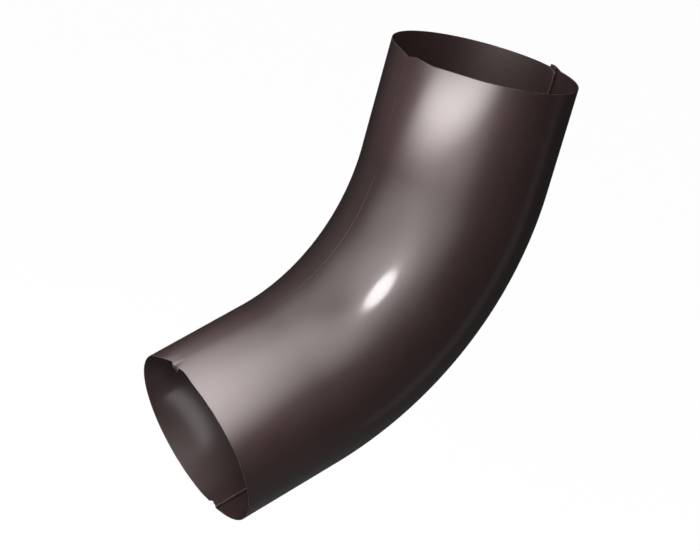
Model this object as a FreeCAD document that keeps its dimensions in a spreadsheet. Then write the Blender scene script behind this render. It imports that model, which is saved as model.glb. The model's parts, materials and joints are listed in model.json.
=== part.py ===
"""Round sheet-metal downspout elbow: two stamped half shells locked together by folded seams.

Frame: the origin is the centre of the inlet mouth and +Z runs up the inlet leg's axis.
The elbow bends in the XZ plane, with its heel (the long outer side) at +X and its throat
(the short inner side) at -X, so the outlet points to -X and down.  The right shell is the
half at +Y and the left shell the half at -Y.  Millimetres and degrees.

Each shell is the outline of its sheet, drawn across the tube and carried along it.  The left
shell's two long edges are folded in and back.  The right shell's edges step in round those
folds and turn back into them, so each seam is four layers of sheet, flush outside and proud
inside.
"""
import FreeCAD, Part
import math
import os

import Sketcher

Vector = FreeCAD.Vector

# Driving dimensions, each with what it measures
SIZES = {
    "inlet_radius": (45.0, "outside of the inlet leg"),
    "outlet_radius": (43.2, "outside of the outlet leg, which plugs into the next pipe"),
    "inlet_leg": (53.0, "straight length above the bend"),
    "outlet_leg": (52.0, "straight length below the bend"),
    "bend_radius": (129.0, "centre line of the bend"),
    "bend_angle": (60.0, "turn from the inlet to the outlet"),
    "sheet_thickness": (0.5, "both shells"),
    "layer_gap": (0.1, "between the layers of a closed seam"),
    "edge_gap": (0.4, "from a turned-in edge to the fold that holds it"),
    "lock_width": (5.0, "seam, from one fold to the other"),
    "fold_corner": (0.4, "how far a fold's outer corners are bevelled"),
    "groove": (0.7, "how far the right shell's surface stands off, where it steps in"),
    "clip_length": (3.6, "cut corner of a folded edge, along the rim"),
    "clip_depth": (1.4, "cut corner of a folded edge, along the seam"),
    "lug_height": (1.4, "fold left standing above the inlet rim at the heel"),
    "lug_width": (4.2, "full-height width of that lug"),
    "lug_slope": (4.0, "width of its slope down to the rim"),
    "trim_margin": (3.0, "how far a cutting outline runs past the sheet"),
}

HEEL, THROAT = 1, -1
START, END, CENTRE = 1, 2, 3
SKETCH_ORIGIN = (-1, 1)


class Size:
    """A length or angle, with the spreadsheet expression that gives it."""

    def __init__(self, value, text):
        self.value = value
        self.text = text

    def __add__(self, other):
        return Size(self.value + other.value, f"({self.text} + {other.text})")

    def __sub__(self, other):
        return Size(self.value - other.value, f"({self.text} - {other.text})")

    def __rmul__(self, factor):
        return Size(factor * self.value, f"{factor} * {self.text}")

    def __neg__(self):
        return -1 * self


def size(alias):
    return Size(SIZES[alias][0], f"Sizes.{alias}")


NONE = Size(0, "0")
SHEET = size("sheet_thickness")
GAP = size("layer_gap")
LOCK_HALF = 0.5 * size("lock_width")
CORNER = size("fold_corner")


def size_sheet(document):
    """The spreadsheet that the features' expressions read."""
    sizes = document.addObject("Spreadsheet::Sheet", "Sizes")
    for row, (alias, (value, note)) in enumerate(SIZES.items(), start=1):
        sizes.set(f"A{row}", alias)
        sizes.set(f"B{row}", str(value))
        sizes.setAlias(f"B{row}", alias)
        sizes.set(f"C{row}", note)


def left_seam():
    """The left shell's fold, from the outside surface in: depth, and reach past the seam."""
    fold = LOCK_HALF
    inside = fold - SHEET
    edge = size("edge_gap") - inside
    thick = 3 * SHEET + 2 * GAP
    return [
        (NONE, fold - CORNER),
        (CORNER, fold),
        (thick, fold),
        (thick, edge),
        (thick - SHEET, edge),
        (thick - SHEET, inside),
        (SHEET, inside),
    ]


def right_seam():
    """The right shell's step round that fold and its own fold, from the outside surface in."""
    step = LOCK_HALF + GAP
    groove = size("groove")
    fold = -LOCK_HALF
    inside = fold + SHEET
    edge = -inside - size("edge_gap")
    top = SHEET + GAP
    under = 3 * SHEET + 3 * GAP
    # An even sheet turns each corner in two halves, and its two faces turn this far apart
    lag = math.tan(math.pi / 8) * SHEET
    return [
        (NONE, step + groove),
        (groove, step),
        (under, step),
        (under, inside),
        (top + SHEET, inside),
        (top + SHEET, edge),
        (top, edge),
        (top, fold),
        (under + SHEET - CORNER, fold),
        (under + SHEET, fold + CORNER),
        (under + SHEET, step - CORNER + lag),
        (under - CORNER + lag, step + SHEET),
        (groove + lag, step + SHEET),
        (SHEET, step + groove + lag),
    ]


def new_sketch(body, name, role):
    """Sketch on one of the body's own origin planes."""
    sketch = body.newObject("Sketcher::SketchObject", name)
    plane = next(item for item in body.Origin.OriginFeatures if item.Role == role)
    sketch.AttachmentSupport = [(plane, "")]
    sketch.MapMode = "FlatFace"
    return sketch


def drive(sketch, kind, *arguments):
    """Add a dimension, the last of its arguments, that follows the spreadsheet."""
    *where, length = arguments
    index = sketch.addConstraint(Sketcher.Constraint(kind, *where, length.value))
    sketch.setExpression(f"Constraints[{index}]", length.text)


def draw_shell(sketch, tube, seam, main_side):
    """Closed outline of one shell: the seam's points at the heel, then again at the throat.

    Points at one depth are joined by an arc about the tube's axis, others by a straight line.
    The outline runs round the wall on the main side, which is -1 for -Y and 1 for +Y.
    """
    points = [(HEEL, *point) for point in seam] + [(THROAT, *point) for point in reversed(seam)]
    places = []
    for side, depth, across in points:
        radius = tube.value - depth.value
        along = side * math.sqrt(radius**2 - across.value**2)
        places.append(Vector(along, across.value, 0))

    edges = []
    for (one, two), (start, stop) in zip(round_trip(points), round_trip(places)):
        if one[1].value != two[1].value:
            edges.append((sketch.addGeometry(Part.LineSegment(start, stop)), START, END, None))
            continue
        radius = tube - one[1]
        turns = main_side if one[0] != two[0] else 0
        edges.append((*add_wall(sketch, start, stop, radius.value, turns), radius))

    for edge, _, _, radius in edges:
        if radius:
            sketch.addConstraint(Sketcher.Constraint("Coincident", edge, CENTRE, *SKETCH_ORIGIN))
            drive(sketch, "Radius", edge, radius)
    for (one, two), (_, depth, across) in zip(round_trip(edges), points[1:] + points[:1]):
        sketch.addConstraint(Sketcher.Constraint("Coincident", one[0], one[2], two[0], two[1]))
        drive(sketch, "DistanceY", *SKETCH_ORIGIN, two[0], two[1], across)
        if not one[3] and not two[3]:
            drive(sketch, "Distance", *SKETCH_ORIGIN, two[0], two[1], tube - depth)


def round_trip(items):
    """Each item with the next, and the last with the first."""
    return zip(items, items[1:] + items[:1])


def add_wall(sketch, start, stop, radius, main_side):
    """Arc about the tube's axis; over the main side if one is given, else the short way."""
    first = math.atan2(start.y, start.x)
    last = math.atan2(stop.y, stop.x)
    forwards = (last - first) % math.tau < math.pi
    if main_side:
        forwards = (start.x > 0) == (main_side > 0)
    if not forwards:
        first, last = last, first
    circle = Part.Circle(Vector(0, 0, 0), Vector(0, 0, 1), radius)
    edge = sketch.addGeometry(Part.ArcOfCircle(circle, first, first + (last - first) % math.tau))
    return (edge, START, END) if forwards else (edge, END, START)


def turn_to_bend_end(sketch, across_plane):
    """Turn a sketch about +Y, from the inlet's direction to the outlet's."""
    turn = FreeCAD.Rotation(across_plane, SIZES["bend_angle"][0])
    sketch.AttachmentOffset = FreeCAD.Placement(Vector(0, 0, 0), turn)
    sketch.setExpression("AttachmentOffset.Rotation.Angle", "Sizes.bend_angle * 1 deg")


def on_centre_line(past):
    """X and Z of the centre line, so far past the end of the bend, as expressions."""
    turn = "Sizes.bend_angle * 1 deg"
    across = f"-Sizes.bend_radius * (1 - cos({turn})) - {past} * sin({turn})"
    up = f"-Sizes.inlet_leg - Sizes.bend_radius * sin({turn}) - {past} * cos({turn})"
    return across, up


def section(body, name, seam, main_side, at_outlet):
    """A shell's outline across the tube, at the start or the end of the bend."""
    sketch = new_sketch(body, name, "XY_Plane")
    across, up = "0", "-Sizes.inlet_leg"
    if at_outlet:
        turn_to_bend_end(sketch, Vector(0, 1, 0))
        across, up = on_centre_line("0")
    sketch.setExpression("AttachmentOffset.Base.x", across)
    sketch.setExpression("AttachmentOffset.Base.z", up)
    tube = size("outlet_radius" if at_outlet else "inlet_radius")
    draw_shell(sketch, tube, seam, main_side)
    return sketch


def centre_line(body):
    """The arc that the bend follows, with its centre on the throat side."""
    radius, leg = size("bend_radius"), size("inlet_leg")
    turn = math.radians(SIZES["bend_angle"][0])
    sketch = new_sketch(body, "CentreLine", "XZ_Plane")
    circle = Part.Circle(Vector(-radius.value, -leg.value, 0), Vector(0, 0, 1), radius.value)
    arc = sketch.addGeometry(Part.ArcOfCircle(circle, -turn, 0))
    drive(sketch, "Radius", arc, radius)
    drive(sketch, "Angle", arc, Size(turn, "Sizes.bend_angle * 1 deg"))
    drive(sketch, "DistanceX", *SKETCH_ORIGIN, arc, CENTRE, -radius)
    drive(sketch, "DistanceY", *SKETCH_ORIGIN, arc, CENTRE, -leg)
    sketch.addConstraint(Sketcher.Constraint("Horizontal", arc, CENTRE, arc, END))
    return sketch


def half_shell(document, label, seam, main_side, rise):
    """Two straight legs and the tapered bend between them, in one shell's outline."""
    body = document.addObject("PartDesign::Body", label)
    body.Label = label
    start = section(body, "BendStart", seam, main_side, at_outlet=False)
    finish = section(body, "BendEnd", seam, main_side, at_outlet=True)

    inlet = body.newObject("PartDesign::Pad", "InletLeg")
    inlet.Profile = start
    inlet.setExpression("Length", (size("inlet_leg") + rise).text)

    bend = body.newObject("PartDesign::AdditivePipe", "Bend")
    bend.Profile = start
    bend.Spine = (centre_line(body), ["Edge1"])
    bend.Transformation = "Multisection"
    bend.Sections = [finish]

    outlet = body.newObject("PartDesign::Pad", "OutletLeg")
    outlet.Profile = finish
    outlet.Reversed = True
    outlet.setExpression("Length", "Sizes.outlet_leg")
    return body


def trim(body, name, side, corners, at_outlet=False):
    """Cut a mouth, at the heel or the throat, to an outline drawn across the seam.

    Each corner is given along +Y and along the tube towards the inlet, from the mouth's centre.
    """
    sketch = new_sketch(body, f"{name}Outline", "YZ_Plane")
    if at_outlet:
        turn_to_bend_end(sketch, Vector(1, 0, 0))
        across, up = on_centre_line("Sizes.outlet_leg")
        sketch.setExpression("AttachmentOffset.Base.z", across)
        sketch.setExpression("AttachmentOffset.Base.y", up)
    places = [Vector(across.value, along.value, 0) for across, along in corners]
    edges = [sketch.addGeometry(Part.LineSegment(*ends)) for ends in round_trip(places)]
    for edge, following in round_trip(edges):
        sketch.addConstraint(Sketcher.Constraint("Coincident", edge, END, following, START))
    for edge, (across, along) in zip(edges, corners):
        drive(sketch, "DistanceX", *SKETCH_ORIGIN, edge, START, across)
        drive(sketch, "DistanceY", *SKETCH_ORIGIN, edge, START, along)
    pocket = body.newObject("PartDesign::Pocket", name)
    pocket.Profile = sketch
    pocket.Type = "ThroughAll"
    pocket.Reversed = side == HEEL


def clip_corner(body, name, side, fold_side, at_outlet=False):
    """Cut a folded edge's corner off at a mouth, so that its layers don't bunch at the rim."""
    length, depth = size("clip_length"), size("clip_depth")
    # A triangle three times as large, whose long side passes through the corner's two points
    out = -1 if at_outlet else 1
    corner = fold_side * (LOCK_HALF + length)
    corners = [
        (corner, out * depth),
        (corner, -2 * out * depth),
        (corner - 3 * fold_side * length, out * depth),
    ]
    trim(body, name, side, corners, at_outlet)


def trim_lug(body):
    """Take the left shell's rim down to the mouth, but for the lug at the heel seam."""
    margin, rise = size("trim_margin"), size("lug_height")
    wide = size("inlet_radius") + margin
    high = rise + margin
    trim(body, "ThroatRim", THROAT, [(-wide, NONE), (wide, NONE), (wide, high), (-wide, high)])
    lug_start = LOCK_HALF + margin
    lug_end = LOCK_HALF - size("lug_width")
    corners = [
        (-wide, NONE),
        (lug_end - size("lug_slope"), NONE),
        (lug_end, rise),
        (lug_start, rise),
        (lug_start, NONE),
        (wide, NONE),
        (wide, high),
        (-wide, high),
    ]
    trim(body, "HeelRim", HEEL, corners)


def left_half_shell(document):
    body = half_shell(document, "left_half_shell", left_seam(), -1, rise=size("lug_height"))
    trim_lug(body)
    clip_corner(body, "InletThroatClip", THROAT, 1)
    clip_corner(body, "OutletThroatClip", THROAT, 1, at_outlet=True)
    clip_corner(body, "OutletHeelClip", HEEL, 1, at_outlet=True)
    return body


def right_half_shell(document):
    body = half_shell(document, "right_half_shell", right_seam(), 1, rise=NONE)
    for mouth, at_outlet in (("Inlet", False), ("Outlet", True)):
        clip_corner(body, f"{mouth}HeelClip", HEEL, -1, at_outlet)
        clip_corner(body, f"{mouth}ThroatClip", THROAT, -1, at_outlet)
    return body


def check(document, bodies):
    """Stop if anything failed to build."""
    for item in document.Objects:
        if {"Invalid", "Error"} & set(item.State):
            raise RuntimeError(f"{item.Name} failed: {item.State}")
    for body in bodies:
        if body.Shape.isNull() or not body.Shape.isValid() or len(body.Shape.Solids) != 1:
            raise RuntimeError(f"{body.Label} is not one valid solid")


def main():
    document = FreeCAD.newDocument("DownspoutElbow")
    size_sheet(document)
    bodies = [left_half_shell(document), right_half_shell(document)]
    document.recompute()
    check(document, bodies)
    os.makedirs("parts", exist_ok=True)
    for body in bodies:
        body.Shape.exportStep(f"parts/{body.Label}.step")


main()
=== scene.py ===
"""Looks of a round sheet-metal downspout elbow in glossy brown coated steel.

The CAD model is two half shells locked together by a folded seam at the heel and one at the
throat.  Here each shell is bent sheet: a line across the tube, given thickness and carried along
the centre line, with rounded folds, trimmed corners and the mouths' small faults.

Metres, in the part's frame: the inlet mouth's centre is the origin, +Z leaves the inlet and the
heel is at +X.  Angles round the tube start at the heel and turn towards +Y.
"""

import json
import math

import bmesh
import bpy
import numpy as np
from mathutils import Matrix, Vector


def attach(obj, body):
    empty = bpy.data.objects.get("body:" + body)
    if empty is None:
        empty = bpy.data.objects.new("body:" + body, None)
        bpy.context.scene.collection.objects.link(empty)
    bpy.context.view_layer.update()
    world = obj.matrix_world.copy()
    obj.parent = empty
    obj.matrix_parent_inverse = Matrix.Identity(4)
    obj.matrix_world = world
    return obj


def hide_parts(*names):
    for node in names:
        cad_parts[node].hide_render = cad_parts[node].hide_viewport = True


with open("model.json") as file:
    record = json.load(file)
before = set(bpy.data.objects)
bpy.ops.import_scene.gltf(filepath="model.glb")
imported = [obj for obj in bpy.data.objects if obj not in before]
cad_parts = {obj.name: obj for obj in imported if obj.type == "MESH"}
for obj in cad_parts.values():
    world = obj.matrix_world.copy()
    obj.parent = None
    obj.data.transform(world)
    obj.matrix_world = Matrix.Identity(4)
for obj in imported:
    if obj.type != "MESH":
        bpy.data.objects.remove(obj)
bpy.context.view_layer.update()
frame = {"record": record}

MM = 0.001

# The tube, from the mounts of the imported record
MOUNTS = {mount["name"]: mount for mount in frame["record"]["mounts"]}
INLET_RADIUS = MOUNTS["inlet_collar"]["dims"]["r_mm"] * MM
OUTLET_RADIUS = MOUNTS["outlet_spigot"]["dims"]["r_mm"] * MM
INLET_LEG = MOUNTS["inlet_collar"]["dims"]["length_mm"] * MM
OUTLET_LEG = MOUNTS["outlet_spigot"]["dims"]["length_mm"] * MM
OUTLET_PLACE = MOUNTS["outlet_spigot"]["pos_m"]
TURN = math.acos(-MOUNTS["outlet_spigot"]["axis"][2])
BEND_RADIUS = (-OUTLET_PLACE[0] - OUTLET_LEG * math.sin(TURN)) / (1 - math.cos(TURN))
LENGTH = INLET_LEG + BEND_RADIUS * TURN + OUTLET_LEG

# The sheet and its folds, as in the solids
SHEET = 0.5 * MM
LAYER_GAP = 0.1 * MM
LAYER = SHEET + LAYER_GAP
EDGE_GAP = 0.4 * MM
EDGE_ROUND = 0.22 * MM
SIZE_SPARE = 0.005 * MM
LOCK_HALF = 2.5 * MM
SEAM_REACH = 6.0 * MM
TIGHT_BEND = 0.27 * MM
TURNED_BACK_BEND = 0.99 * LAYER

# The step of the right shell's edge under the left shell's
GROOVE = 0.05 * MM
GROOVE_DEPTH = 0.8 * MM
GROOVE_BEND = 0.3 * MM
STEP_BEND = 0.45 * MM
SEAM_SINK = 0.55 * MM
SINK_REACH = 13 * MM
SINK_DEPTH = 3.2 * SHEET
OUTLET_SINK = 0.3 * MM
OUTLET_SINK_REACH = 6 * MM

# The throat lock's inner layers hang open at the outlet
LOCK_OPENED = 0.8 * MM
LOCK_OPENED_REACH = 5 * MM
OPENED_FROM = 1.2 * SHEET
OPENED_TO = 3 * SHEET

# The heel lock's ends: a lug and a clipped corner at the inlet, a pressed stretch at the outlet
LUG_HEIGHT = 1.35 * MM
LUG_WIDTH = 2.2 * MM
LUG_SLOPE = 5.0 * MM
CLIP_LENGTH = 3.6 * MM
CLIP_DEPTH = 1.4 * MM
PRESSED_DEPTH = 0.9 * MM
PRESSED_FROM = -0.5 * MM
PRESSED_TO = 4.0 * MM
PRESSED_EDGE = 0.2 * MM

# The mouths' faults reach this far along the tube
RIM_REACH = 14 * MM
INLET_SAG_REACH = 42 * MM
OUTLET_SAG_REACH = 36 * MM
DENT_REACH = 6 * MM

# Humps (height, middle, width) and notches (height, start, deepest, stop) of the mouths' faults.
# Heights are in millimetres and places in degrees round from the throat, towards the left shell
INLET_SAG = (0.7, 18, 18)
OUTLET_SAG = (0.2, 16, 14)
CORNER_DENT = (-0.4, -0.5, 4)
INLET_NOTCH = (-1.8, -14, -3.5, 5)
INLET_DIP = (-0.55, 17, 18)
OUTLET_DIP = (-0.3, 80, 40)
LEFT_CORNER = (0.1, -0.5, 3)
LEFT_DIP = (-0.75, 9, 12)
RIGHT_RISE = (0.75, -23, 14)
RIGHT_NOTCH = (-1.3, -15, -6.5, -1)

# A hump of the heel lock's end at the outlet, in millimetres across the seam
HEEL_RISE = (0.1, -2, 3)

# Mesh density
WALL_POINTS = 110
FOLD_STEP = 0.7 * MM
STEP_ALONG = 1.5 * MM
EDGE_STEPS = 4
MOUTH_STEPS = [0, 0.03, 0.08, 0.15, 0.22, 0.35, 0.6, 1.0, 1.5, 2.1, 2.8, 3.6, 4.6, 5.7, 7.0, 8.4]

# Places of a shell's materials, and sockets of a colour Mix node
COATED, CUT, FOLD_END_SHADE = 0, 1, 2
MIX_A, MIX_B, MIX_RESULT = 6, 7, 2

# Colours, linear
BROWN = (0.0245, 0.0122, 0.0118)
PALE_BROWN = (0.0285, 0.0142, 0.0137)
WARM_GLOSS = (1.0, 0.86, 0.86, 1)
COATED_EDGE = (0.03, 0.021, 0.019)
ZINC_EDGE = (0.12, 0.108, 0.104)
# The folds' ends: a darker brown than the coat, painted shade where the lock meets the mouths
FOLD_SHADE_BROWN = (0.018, 0.010, 0.009)
PALE_FOLD_SHADE_BROWN = (0.026, 0.015, 0.014)
ROOM_COLOUR = (1, 0.93, 0.96, 1)
FLOOR_GREY = (0.25, 0.25, 0.25, 1)

# The studio
FLOOR_BELOW = 0.62
FLOOR_REACH = 9.0
FLOOR_WHITE = 0.98
FLOOR_IN_GLOSS = 0.012
ROOM_LIGHT = 0.016

# The camera, fitted to the tube's outline in the photograph
CAMERA_PLACE = Vector((-0.64271, -0.69374, 0.18645))
CAMERA_RIGHT = Vector((0.78362, -0.56723, 0.25334))
CAMERA_UP = Vector((-0.00869, 0.39775, 0.91745))
CAMERA_BACK = Vector((-0.62117, -0.72114, 0.30676))
SENSOR_WIDTH = 36.0
FOCAL_LENGTH = 106.0
FARTHEST_SEEN = 50.0

# Lamps: name, where the reflection falls in millimetres along the elbow and degrees round it,
# distance, size across and along the tube, brightness, bright core and turn in degrees
LAMPS = [
    ("low_front", 20, -137, 0.45, (1.0, 0.5), 1.1),
    ("middle_back", 80, -157, 0.45, (1.0, 0.5), 1.3),
    ("bend", 115, -146, 0.45, (0.9, 0.4), 1.7),
    ("bend_back", 128, -165, 0.45, (0.8, 0.4), 1.2),
    ("top_front", 205, -141, 0.45, (1.0, 0.5), 1.9),
    ("top_back", 205, -160, 0.45, (1.0, 0.5), 1.3),
    ("inlet_strip", 14, -142, 0.047, (0.19, 0.057), 5.9, 0.06, 9),
    ("outlet_strip", 266, -148.5, 0.049, (0.5, 0.166), 2.5, 0.13, 4.5),
    ("key", 122, -141, 0.80, (0.29, 0.285), 17.3, 0.75),
    ("side", 130, -79, 0.80, (0.35, 1.6), 0.10),
    ("throat", 110, -190, 0.45, (0.6, 0.8), 0.05),
]
ELBOW_MIDDLE = Vector((-0.03, 0, -0.12))
GLOW_PLACE = Vector((-0.0874, 0.0398, -0.1950))
GLOW_DIRECTION = Vector((0.219, -0.954, 0.203)).normalized()


def smooth_step(value, start, stop):
    """0 before the start and 1 past the stop, with an eased way between."""
    part = np.clip((value - start) / (stop - start), 0, 1)
    return part * part * (3 - 2 * part)


def hump(value, height, middle, width):
    """Smooth hump, about as wide as given at half its height."""
    return height * np.exp(-((value - middle) / (0.6 * width)) ** 2)


def notch(value, height, start, deepest, stop):
    """V-shaped dip, 0 at both ends."""
    return height * np.interp(value, [start, deepest, stop], [0, 1, 0])


def radius_at(along):
    """Outside radius: the inlet's, down to the outlet's over the bend."""
    part = np.clip((along - INLET_LEG) / (BEND_RADIUS * TURN), 0, 1)
    eased = smooth_step(part, 0, 1)
    return INLET_RADIUS + (OUTLET_RADIUS - INLET_RADIUS) * 0.5 * (part + eased)


def centre_at(along):
    """X and Z on the centre line, and the X and Z of the direction from it to the heel."""
    angle = np.clip((along - INLET_LEG) / BEND_RADIUS, 0, TURN)
    before = np.minimum(along, INLET_LEG)
    after = np.maximum(along - INLET_LEG - BEND_RADIUS * TURN, 0)
    x = -BEND_RADIUS * (1 - np.cos(angle)) - after * np.sin(angle)
    z = -before - BEND_RADIUS * np.sin(angle) - after * np.cos(angle)
    return x, z, np.cos(angle), -np.sin(angle)


def from_throat(angle):
    """Degrees round from the throat, positive on the left shell's side."""
    return np.degrees(np.where(angle < 0, math.pi + angle, angle - math.pi))


def sag(along, angle):
    """How far the wall stands out from the true tube: the mouths are a little out of round."""
    turned = from_throat(angle)
    near_inlet = 1 - smooth_step(along, 0, INLET_SAG_REACH)
    near_outlet = smooth_step(along, LENGTH - OUTLET_SAG_REACH, LENGTH)
    near_corner = smooth_step(along, LENGTH - DENT_REACH, LENGTH)
    inlet = hump(turned, *INLET_SAG) * near_inlet
    outlet = hump(turned, *OUTLET_SAG) * near_outlet
    return MM * (inlet + outlet + hump(turned, *CORNER_DENT) * near_corner)


def heel_lift(shell, at_outlet, across):
    """How far the heel lock's layers reach past a mouth's plane."""
    if at_outlet:
        start = smooth_step(across, PRESSED_FROM - PRESSED_EDGE, PRESSED_FROM + PRESSED_EDGE)
        stop = smooth_step(across, PRESSED_TO - PRESSED_EDGE, PRESSED_TO + PRESSED_EDGE)
        return MM * hump(across / MM, *HEEL_RISE) - PRESSED_DEPTH * start * (1 - stop)
    if shell == "left":
        rise = (across - LOCK_HALF + LUG_WIDTH + LUG_SLOPE) / LUG_SLOPE
        return LUG_HEIGHT * np.clip(rise, 0, 1)
    return -CLIP_DEPTH * np.clip((CLIP_LENGTH - LOCK_HALF - across) / CLIP_LENGTH, 0, 1)


def rim_lift(shell, at_outlet, angle, across):
    """How far the sheet reaches past a mouth's plane."""
    turned = from_throat(angle)
    if not at_outlet:
        lift = notch(turned, *INLET_NOTCH) + hump(turned, *INLET_DIP)
    elif shell == "left":
        lift = hump(turned, *LEFT_CORNER) + hump(turned, *LEFT_DIP) + hump(turned, *OUTLET_DIP)
    else:
        lift = hump(turned, *RIGHT_RISE) + notch(turned, *RIGHT_NOTCH) + hump(turned, *OUTLET_DIP)
    near_heel = (np.cos(angle) > 0) & (np.abs(across) < SEAM_REACH)
    return MM * lift + np.where(near_heel, heel_lift(shell, at_outlet, across), 0.0)


def finer(line):
    """Add points along a line's long straight parts."""
    parts = []
    for start, stop in zip(line, line[1:]):
        pieces = max(1, round(float(np.linalg.norm(stop - start)) / FOLD_STEP))
        parts += [start + (stop - start) * part / pieces for part in range(pieces)]
    return np.array(parts + [line[-1]])


def fillet(points, radii, steps):
    """Round the inner corners of a line of (across, depth) points."""
    line = [Vector(points[0])]
    for before, corner, after, radius in zip(points, points[1:], points[2:], radii):
        before, corner, after = Vector(before), Vector(corner), Vector(after)
        back, on = (before - corner).normalized(), (after - corner).normalized()
        half = 0.5 * back.angle(on)
        reach = radius / math.tan(half)
        middle = corner + (back + on).normalized() * radius / math.sin(half)
        first = corner + back * reach - middle
        last = corner + on * reach - middle
        for step in range(steps + 1):
            line.append(middle + first.slerp(last, step / steps) * radius)
    line.append(Vector(points[-1]))
    return finer(np.array([tuple(point) for point in line]))


def left_fold():
    """Middle of the left shell's sheet at a seam, from the wall into the fold."""
    turned = LOCK_HALF - 0.5 * SHEET
    top = 0.5 * SHEET
    deep = top + 2 * LAYER
    points = [(-SEAM_REACH, top), (turned, top), (turned, deep), (EDGE_GAP - turned, deep)]
    return fillet(points, (TIGHT_BEND, TURNED_BACK_BEND), 8)


def right_fold():
    """Middle of the right shell's sheet at a seam: its step under the left fold, and its own."""
    top = 0.5 * SHEET
    deep = top + 3 * LAYER
    step = LOCK_HALF + LAYER_GAP + 0.5 * SHEET
    turned = 0.5 * SHEET - LOCK_HALF
    points = [
        (SEAM_REACH + step, top),
        (step + GROOVE, top),
        (step, top + GROOVE_DEPTH),
        (step, deep),
        (turned, deep),
        (turned, deep - 2 * LAYER),
        (LOCK_HALF - SHEET - EDGE_GAP, deep - 2 * LAYER),
    ]
    radii = (TIGHT_BEND, GROOVE_BEND, STEP_BEND, TURNED_BACK_BEND, TURNED_BACK_BEND)
    return fillet(points, radii, 6)


def opened_at(along):
    """How far the inner layers of the throat lock hang away from the outer one near the outlet."""
    return LOCK_OPENED * math.exp(-(LENGTH - along) / LOCK_OPENED_REACH)


def sunk(along, across, depth):
    """How much deeper the right shell's wall sits beside a seam, tucked under the left one's edge."""
    extra = OUTLET_SINK * math.exp(-(LENGTH - along) / OUTLET_SINK_REACH)
    beside = 1 - smooth_step(across, LOCK_HALF + SHEET, SINK_REACH)
    near_surface = 1 - smooth_step(depth, SHEET, SINK_DEPTH)
    return (SEAM_SINK + extra) * beside * near_surface * (across > LOCK_HALF + 0.5 * LAYER_GAP)


def seam_rows(shell, along, at_throat):
    """Both faces of a shell's sheet at a seam: rows of (angle, depth), from the wall inwards."""
    middle = left_fold() if shell == "left" else right_fold()
    outward = 1 if shell == "left" else -1
    tangent = np.gradient(middle, axis=0)
    tangent /= np.linalg.norm(tangent, axis=1)[:, None]
    normal = outward * np.stack([tangent[:, 1], -tangent[:, 0]], 1)
    rows = []
    for offset in (0.5 * SHEET, -0.5 * SHEET):
        across, depth = (middle + normal * offset).T
        if at_throat:
            depth = depth + opened_at(along) * smooth_step(depth, OPENED_FROM, OPENED_TO)
        angle = np.arcsin(across / (radius_at(along) - depth))
        if at_throat:
            angle = (-math.pi if shell == "left" else math.pi) - angle
        rows.append(np.stack([angle, depth], 1))
    return rows


def outline(shell, along):
    """Both faces of a shell's sheet across the tube: rows of (angle, depth), outer then inner.

    Each row runs from the heel fold's end, round the wall, to the throat fold's end.
    """
    faces = []
    seams = zip(seam_rows(shell, along, False), seam_rows(shell, along, True), (0.0, SHEET))
    for heel, throat, wall_depth in seams:
        angles = np.linspace(heel[0, 0], throat[0, 0], WALL_POINTS + 2)[1:-1]
        wall = np.stack([angles, np.full(WALL_POINTS, wall_depth)], 1)
        line = np.concatenate([heel[::-1], wall, throat])
        if shell == "right":
            across = (radius_at(along) - line[:, 1]) * np.abs(np.sin(line[:, 0]))
            line[:, 1] += sunk(along, across, line[:, 1])
        faces.append(line)
    return faces


def stations():
    """Distances along the tube, close together at the mouths."""
    mouth = np.array(MOUTH_STEPS) * MM
    inside = np.arange(mouth[-1] + STEP_ALONG, LENGTH - mouth[-1] - 0.5 * STEP_ALONG, STEP_ALONG)
    return np.concatenate([mouth, inside, LENGTH - mouth[::-1]])


def rounded(outer, inner, along):
    """The sheet's faces drawn together where a cut edge is rounded."""
    to_edge = EDGE_ROUND - min(along, LENGTH - along, EDGE_ROUND)
    lost = EDGE_ROUND - math.sqrt(EDGE_ROUND ** 2 - to_edge ** 2)
    middle = 0.5 * (outer + inner)
    share = 1 - 2 * lost / SHEET
    return middle + (outer - middle) * share, middle + (inner - middle) * share


def shell_points(shell):
    """Rows of points for each station: the outer face, then the inner face back again."""
    rows = []
    for along in stations():
        outer, inner = rounded(*outline(shell, along), along)
        angle, depth = np.concatenate([outer, inner[::-1]]).T
        across = (radius_at(along) - depth) * np.sin(angle)
        inlet_fade = 1 - smooth_step(along, 0, RIM_REACH)
        outlet_fade = smooth_step(along, LENGTH - RIM_REACH, LENGTH)
        place = along - inlet_fade * rim_lift(shell, False, angle, across)
        place = place + outlet_fade * rim_lift(shell, True, angle, across)
        reach = radius_at(along) - SIZE_SPARE - depth + sag(along, angle)
        x, z, out_x, out_z = centre_at(place)
        out = reach * np.cos(angle)
        rows.append(np.stack([x + out_x * out, reach * np.sin(angle), z + out_z * out], 1))
    return rows


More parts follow.
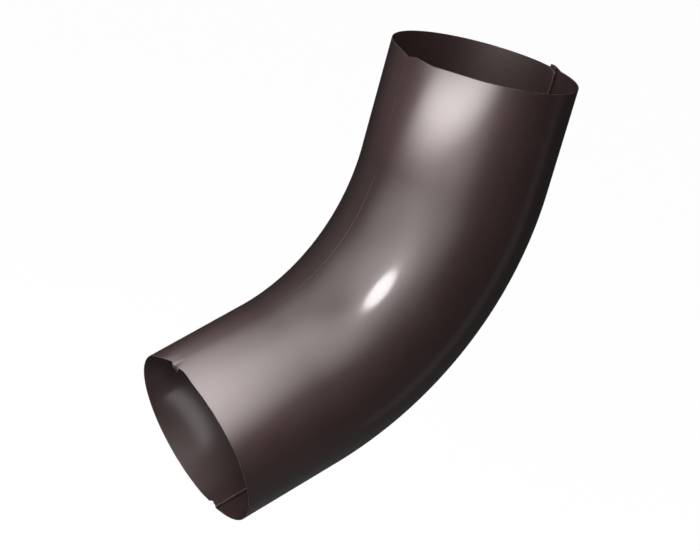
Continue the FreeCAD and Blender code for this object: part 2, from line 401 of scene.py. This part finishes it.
def shell_piece(shell, node, materials):
    """A shell as one closed mesh; its cut edges and its folds' ends in their own materials, the
    folds' ends in painted shade.
    """
    rows = shell_points(shell)
    ring = len(rows[0])
    bare = np.abs(rows[0][:, 1]) > SEAM_REACH
    faces, slots = [], []
    for number in range(len(rows) - 1):
        at_mouth = number < EDGE_STEPS or number > len(rows) - 2 - EDGE_STEPS
        low, high = number * ring, (number + 1) * ring
        for point in range(ring):
            following = (point + 1) % ring
            faces.append((low + point, low + following, high + following, high + point))
            slots.append(CUT if at_mouth and bare[point] else COATED)
    for number, order in ((0, 1), (len(rows) - 1, -1)):
        first, last = number * ring, (number + 1) * ring - 1
        for point in range(ring // 2 - 1):
            face = (first + point, first + point + 1, last - point - 1, last - point)
            faces.append(face[::order])
            # the folds' ends at the mouths take the darker brown of painted shade
            slots.append(CUT if bare[point] else FOLD_END_SHADE)
    mesh = bpy.data.meshes.new(node)
    mesh.from_pydata(np.concatenate(rows).tolist(), [], faces)
    for material in materials:
        mesh.materials.append(material)
    mesh.polygons.foreach_set("material_index", slots)
    mesh.polygons.foreach_set("use_smooth", [True] * len(faces))
    work = bmesh.new()
    work.from_mesh(mesh)
    bmesh.ops.recalc_face_normals(work, faces=work.faces)
    work.to_mesh(mesh)
    work.free()
    piece = bpy.data.objects.new(f"{node}_sheet", mesh)
    bpy.context.scene.collection.objects.link(piece)
    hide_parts(node)
    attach(piece, "root")


class Nodes:
    """Short calls for building a node tree."""

    def __init__(self, owner):
        owner.use_nodes = True
        self.tree = owner.node_tree
        self.tree.nodes.clear()

    def add(self, kind, inputs=None, **settings):
        node = self.tree.nodes.new(kind)
        for name, value in settings.items():
            setattr(node, name, value)
        for name, value in (inputs or {}).items():
            if isinstance(value, bpy.types.NodeSocket):
                self.tree.links.new(value, node.inputs[name])
            else:
                node.inputs[name].default_value = value
        return node

    def maths(self, operation, one, two):
        return self.add("ShaderNodeMath", {0: one, 1: two}, operation=operation).outputs[0]

    def noise(self, scale, detail=3.0):
        place = self.add("ShaderNodeTexCoord").outputs["Object"]
        inputs = {"Vector": place, "Scale": scale, "Detail": detail}
        return self.add("ShaderNodeTexNoise", inputs).outputs["Fac"]

    def spread(self, value, low, high, start, stop):
        inputs = {"Value": value, "From Min": low, "From Max": high, "To Min": start, "To Max": stop}
        return self.add("ShaderNodeMapRange", inputs).outputs["Result"]

    def blend(self, factor, one, two):
        inputs = {"Factor": factor, MIX_A: (*one, 1), MIX_B: (*two, 1)}
        return self.add("ShaderNodeMix", inputs, data_type="RGBA").outputs[MIX_RESULT]

    def principled(self, inputs):
        shader = self.add("ShaderNodeBsdfPrincipled", inputs)
        self.add("ShaderNodeOutputMaterial", {"Surface": shader.outputs["BSDF"]})


def brown_coat():
    """Chocolate-brown baked coating: satin body, thin clear gloss and faint orange peel."""
    material = bpy.data.materials.new("brown_coat")
    nodes = Nodes(material)
    cloud = nodes.spread(nodes.noise(22.0, detail=4.0), 0.3, 0.7, 0, 1)
    speck = nodes.noise(900.0, detail=2.0)
    peel = nodes.add("ShaderNodeBump", {"Strength": 0.05, "Distance": 0.0002, "Height": speck})
    nodes.principled({
        "Base Color": nodes.blend(cloud, BROWN, PALE_BROWN),
        "Roughness": nodes.spread(nodes.noise(60.0, detail=5.0), 0.3, 0.7, 0.41, 0.46),
        "Specular IOR Level": 1.0,
        "Specular Tint": WARM_GLOSS,
        "Coat Weight": 1.0,
        "Coat Roughness": 0.13,
        "Coat IOR": 1.5,
        "Normal": peel.outputs["Normal"],
        "Coat Normal": peel.outputs["Normal"],
    })
    return material


def cut_edge():
    """Sheared edge: zinc and steel grey, half hidden by coating that crept round."""
    material = bpy.data.materials.new("cut_edge")
    nodes = Nodes(material)
    bared = nodes.spread(nodes.noise(260.0, detail=4.0), 0.42, 0.6, 0, 1)
    nodes.principled({
        "Base Color": nodes.blend(bared, COATED_EDGE, ZINC_EDGE),
        "Metallic": nodes.spread(bared, 0, 1, 0.0, 0.5),
        "Roughness": 0.42,
    })
    return material


def fold_end_shade():
    """Painted shade at the folds' ends: a darker brown than the coat, with little gloss."""
    material = bpy.data.materials.new("fold_end_shade")
    nodes = Nodes(material)
    nodes.principled({
        "Base Color": nodes.blend(nodes.noise(300.0), FOLD_SHADE_BROWN, PALE_FOLD_SHADE_BROWN),
        "Roughness": 0.45,
        "Specular IOR Level": 0.3,
        "Specular Tint": WARM_GLOSS,
    })
    return material


def background_share(nodes):
    """How much of the pale background a ray sees: all, for the camera and through glass."""
    path = nodes.add("ShaderNodeLightPath").outputs
    gloss = nodes.maths("MULTIPLY", path["Is Glossy Ray"], FLOOR_IN_GLOSS)
    seen = nodes.maths("MAXIMUM", path["Is Camera Ray"], path["Is Transmission Ray"])
    return nodes.maths("MAXIMUM", seen, gloss)


def floor():
    """Plain pale floor, well below the elbow."""
    sides = ((-1, -1), (1, -1), (1, 1), (-1, 1))
    corners = [(x * FLOOR_REACH, y * FLOOR_REACH, -FLOOR_BELOW) for x, y in sides]
    mesh = bpy.data.meshes.new("floor")
    mesh.from_pydata(corners, [], [(0, 1, 2, 3)])
    piece = bpy.data.objects.new("floor", mesh)
    bpy.context.scene.collection.objects.link(piece)
    material = bpy.data.materials.new("pale_floor")
    nodes = Nodes(material)
    matt = nodes.add("ShaderNodeBsdfDiffuse", {"Color": FLOOR_GREY})
    strength = nodes.maths("MULTIPLY", background_share(nodes), FLOOR_WHITE)
    white = nodes.add("ShaderNodeEmission", {"Strength": strength})
    both = nodes.add("ShaderNodeAddShader", {0: matt.outputs[0], 1: white.outputs[0]})
    nodes.add("ShaderNodeOutputMaterial", {"Surface": both.outputs[0]})
    mesh.materials.append(material)


def surroundings():
    """Dim even room for the light and the gloss, pale where the camera sees past the floor."""
    world = bpy.data.worlds.new("room")
    bpy.context.scene.world = world
    nodes = Nodes(world)
    room = nodes.add("ShaderNodeBackground", {"Color": ROOM_COLOUR, "Strength": ROOM_LIGHT})
    pale = nodes.add("ShaderNodeBackground", {"Color": (1, 1, 1, 1), "Strength": 1.0})
    inputs = {0: background_share(nodes), 1: room.outputs[0], 2: pale.outputs[0]}
    mix = nodes.add("ShaderNodeMixShader", inputs)
    nodes.add("ShaderNodeOutputWorld", {"Surface": mix.outputs[0]})


def softbox(name, point, direction, distance, size, radiance, core=0.05, turned=0):
    """Soft-edged round lamp, seen from a point in a direction and facing it.

    size is across and along the tube.  radiance is the brightness of the lamp's middle, where 1
    is a white wall, and core is how much of its half width stays that bright.
    """
    across = Vector((0, 1, 0)) - direction * direction.y
    across.normalize()
    facing = Matrix((across, direction.cross(across), direction)).transposed()
    facing = facing @ Matrix.Rotation(math.radians(turned), 3, "Z")
    lamp = bpy.data.lights.new(name, "AREA")
    lamp.shape = "RECTANGLE"
    lamp.size, lamp.size_y = size
    lamp.energy = radiance * math.pi * size[0] * size[1]
    nodes = Nodes(lamp)
    place = nodes.add("ShaderNodeNewGeometry").outputs["Parametric"]
    middle = nodes.add("ShaderNodeVectorMath", {0: place, 1: (0.5, 0.5, 0)}, operation="DISTANCE")
    soft = nodes.add("ShaderNodeMapRange", {
        "Value": middle.outputs["Value"], "From Min": 0.5, "From Max": 0.5 * core, "To Max": 1.0,
    }, interpolation_type="SMOOTHSTEP")
    glow = nodes.add("ShaderNodeEmission", {"Strength": soft.outputs["Result"]})
    nodes.add("ShaderNodeOutputLight", {"Surface": glow.outputs[0]})
    lamp_object = bpy.data.objects.new(name, lamp)
    lamp_object.matrix_world = Matrix.Translation(point + direction * distance) @ facing.to_4x4()
    lamp_object.visible_camera = False
    bpy.context.scene.collection.objects.link(lamp_object)


def reflected_box(name, along, angle, *settings):
    """Softbox whose reflection the camera sees at a place, in millimetres along and degrees round."""
    x, z, out_x, out_z = centre_at(along * MM)
    angle = math.radians(angle)
    normal = Vector((out_x * math.cos(angle), math.sin(angle), out_z * math.cos(angle)))
    point = Vector((x, 0, z)) + normal * float(radius_at(along * MM))
    view = (CAMERA_PLACE - point).normalized()
    softbox(name, point, 2 * normal.dot(view) * normal - view, *settings)


def lamps():
    """Softboxes placed by their reflections, one behind the elbow and a small one in its outlet."""
    for lamp in LAMPS:
        reflected_box(*lamp)
    behind = (ELBOW_MIDDLE - CAMERA_PLACE).normalized()
    softbox("back", ELBOW_MIDDLE, behind, distance=0.75, size=(0.30, 0.40), radiance=4.0)
    softbox(
        "mouth_glow", GLOW_PLACE, GLOW_DIRECTION,
        distance=0.060, size=(0.014, 0.150), radiance=1.9, core=0.25, turned=-19,
    )


def camera():
    """The photograph's view."""
    lens = bpy.data.cameras.new("camera")
    lens.sensor_width = SENSOR_WIDTH
    lens.lens = FOCAL_LENGTH
    lens.clip_end = FARTHEST_SEEN
    view = bpy.data.objects.new("camera", lens)
    turn = Matrix((CAMERA_RIGHT, CAMERA_UP, CAMERA_BACK)).transposed()
    view.matrix_world = Matrix.Translation(CAMERA_PLACE) @ turn.to_4x4()
    bpy.context.scene.collection.objects.link(view)
    bpy.context.scene.camera = view


camera()
shell_materials = (brown_coat(), cut_edge(), fold_end_shade())
shell_piece("left", "left_half_shell", shell_materials)
shell_piece("right", "right_half_shell", shell_materials)
floor()
surroundings()
lamps()
bpy.context.scene.view_settings.view_transform = "Standard"
